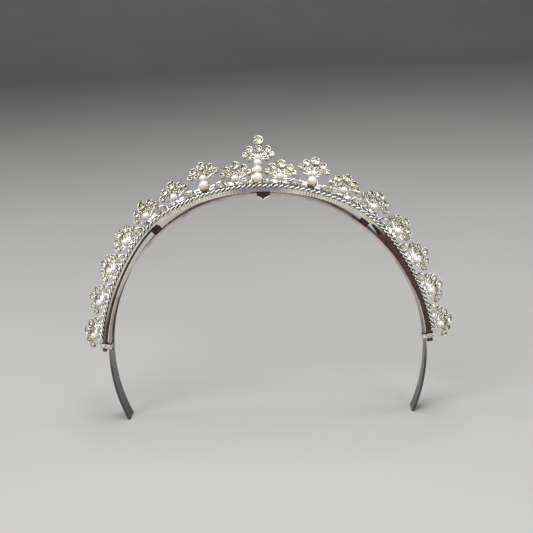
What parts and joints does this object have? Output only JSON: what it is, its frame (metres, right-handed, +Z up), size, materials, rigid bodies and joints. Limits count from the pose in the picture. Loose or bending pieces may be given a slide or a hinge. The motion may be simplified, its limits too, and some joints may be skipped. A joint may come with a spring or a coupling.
{
  "type": "tiara",
  "caption": "Silver tiara on an arched headband: leaning fans of clear cut stones over pearls on a twisted-wire band, with a tall middle ornament.",
  "frame": {"origin": "middle of the floor under the tiara's bounding box, standing on the headband's two ends", "axes": "+Z up towards the finial, +X along the span from end to end, +Y to the back, where the ornaments lean"},
  "size_m": [0.1492, 0.0202, 0.1117],
  "materials": {
    "bright_silver": "polished silver with a slightly warm tone and darker recesses",
    "headband_metal": "satin, darker than the ornaments",
    "dark_silver": "tarnished, brownish",
    "pearl": "pearly, smooth lustre",
    "cut_stone": "clear, faintly champagne, faceted"
  },
  "bodies": {
    "root": {"headband": "headband_metal", "centre_clip": "dark_silver", "bracket_left": "dark_silver", "bracket_right": "dark_silver", "binding_left": "bright_silver", "binding_right": "bright_silver", "base_band": "bright_silver", "rope_border": "bright_silver", "palmette_centre": "bright_silver", "palmette_left_1": "bright_silver", "palmette_left_2": "bright_silver", "palmette_left_3": "bright_silver", "palmette_left_4": "bright_silver", "palmette_left_5": "bright_silver", "palmette_left_6": "bright_silver", "palmette_left_7": "bright_silver", "palmette_left_8": "bright_silver", "palmette_right_1": "bright_silver", "palmette_right_2": "bright_silver", "palmette_right_3": "bright_silver", "palmette_right_4": "bright_silver", "palmette_right_5": "bright_silver", "palmette_right_6": "bright_silver", "palmette_right_7": "bright_silver", "palmette_right_8": "bright_silver", "pearl_centre_1": "pearl", "pearl_centre_2": "pearl", "pearl_centre_3": "pearl", "pearl_centre_4": "pearl", "pearl_left_1": "pearl", "pearl_left_2": "pearl", "pearl_left_3": "pearl", "pearl_left_4": "pearl", "pearl_left_5": "pearl", "pearl_left_6": "pearl", "pearl_left_7": "pearl", "pearl_left_8": "pearl", "pearl_right_1": "pearl", "pearl_right_2": "pearl", "pearl_right_3": "pearl", "pearl_right_4": "pearl", "pearl_right_5": "pearl", "pearl_right_6": "pearl", "pearl_right_7": "pearl", "pearl_right_8": "pearl", "pearl_left_2_top": "pearl", "pearl_right_2_top": "pearl", "stones_left": "cut_stone", "stones_right": "cut_stone", "stones_centre": "cut_stone", "gap_stones": "cut_stone"}
  },
  "joints": []
}
